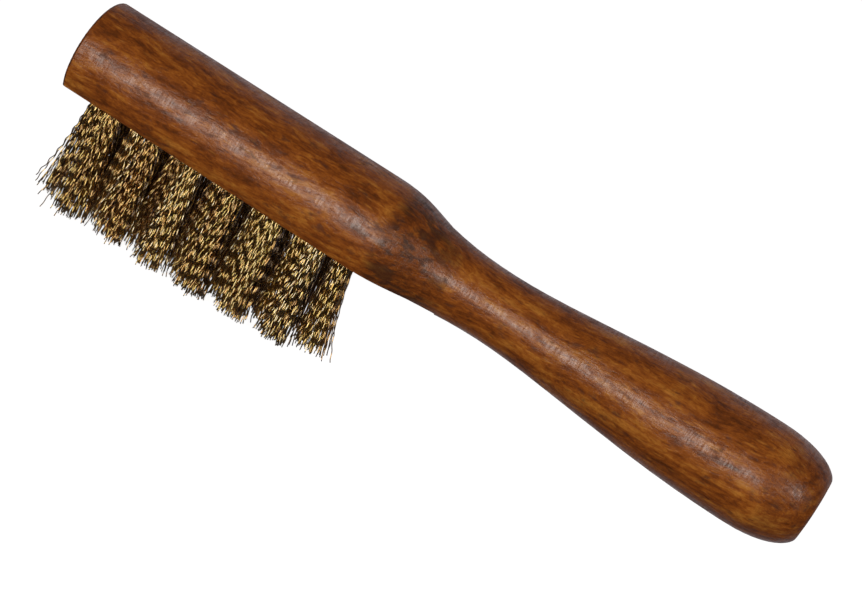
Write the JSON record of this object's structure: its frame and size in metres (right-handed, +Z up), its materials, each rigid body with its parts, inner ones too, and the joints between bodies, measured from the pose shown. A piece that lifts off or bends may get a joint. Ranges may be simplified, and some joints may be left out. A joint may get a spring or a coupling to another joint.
{
  "type": "wire brush",
  "caption": "Hand wire brush: a turned and stained beech handle with a straight round head, a slim neck and a swelling grip, and rows of crimped brass wire tufts set in a flat on the head.",
  "frame": {"origin": "the middle of the bounding box's bottom face, on the plane of the bristle tips, straight below the handle's axis and halfway along it", "axes": "+X along the handle's axis from the head's end to the butt; +Z up, from the bristle tips to the handle; the brush is the same on both sides of the XZ plane"},
  "size_m": [0.253, 0.034, 0.063],
  "materials": {
    "stained_beech": "dark-stained beech under a semi-gloss lacquer",
    "brass_wire": "crimped bare brass wire, bright on the crests",
    "anchor_wire": "zinc-plated flat steel wire"
  },
  "bodies": {
    "root": {"handle": "stained_beech", "tuft_middle_1": "brass_wire", "tuft_middle_2": "brass_wire", "tuft_middle_3": "brass_wire", "tuft_middle_4": "brass_wire", "tuft_middle_5": "brass_wire", "tuft_middle_6": "brass_wire", "tuft_middle_7": "brass_wire", "tuft_front_1": "brass_wire", "tuft_front_2": "brass_wire", "tuft_front_3": "brass_wire", "tuft_front_4": "brass_wire", "tuft_front_5": "brass_wire", "tuft_front_6": "brass_wire", "tuft_back_1": "brass_wire", "tuft_back_2": "brass_wire", "tuft_back_3": "brass_wire", "tuft_back_4": "brass_wire", "tuft_back_5": "brass_wire", "tuft_back_6": "brass_wire", "anchor_middle_1": "anchor_wire", "anchor_middle_2": "anchor_wire", "anchor_middle_3": "anchor_wire", "anchor_middle_4": "anchor_wire", "anchor_middle_5": "anchor_wire", "anchor_middle_6": "anchor_wire", "anchor_middle_7": "anchor_wire", "anchor_front_1": "anchor_wire", "anchor_front_2": "anchor_wire", "anchor_front_3": "anchor_wire", "anchor_front_4": "anchor_wire", "anchor_front_5": "anchor_wire", "anchor_front_6": "anchor_wire", "anchor_back_1": "anchor_wire", "anchor_back_2": "anchor_wire", "anchor_back_3": "anchor_wire", "anchor_back_4": "anchor_wire", "anchor_back_5": "anchor_wire", "anchor_back_6": "anchor_wire"}
  },
  "joints": []
}
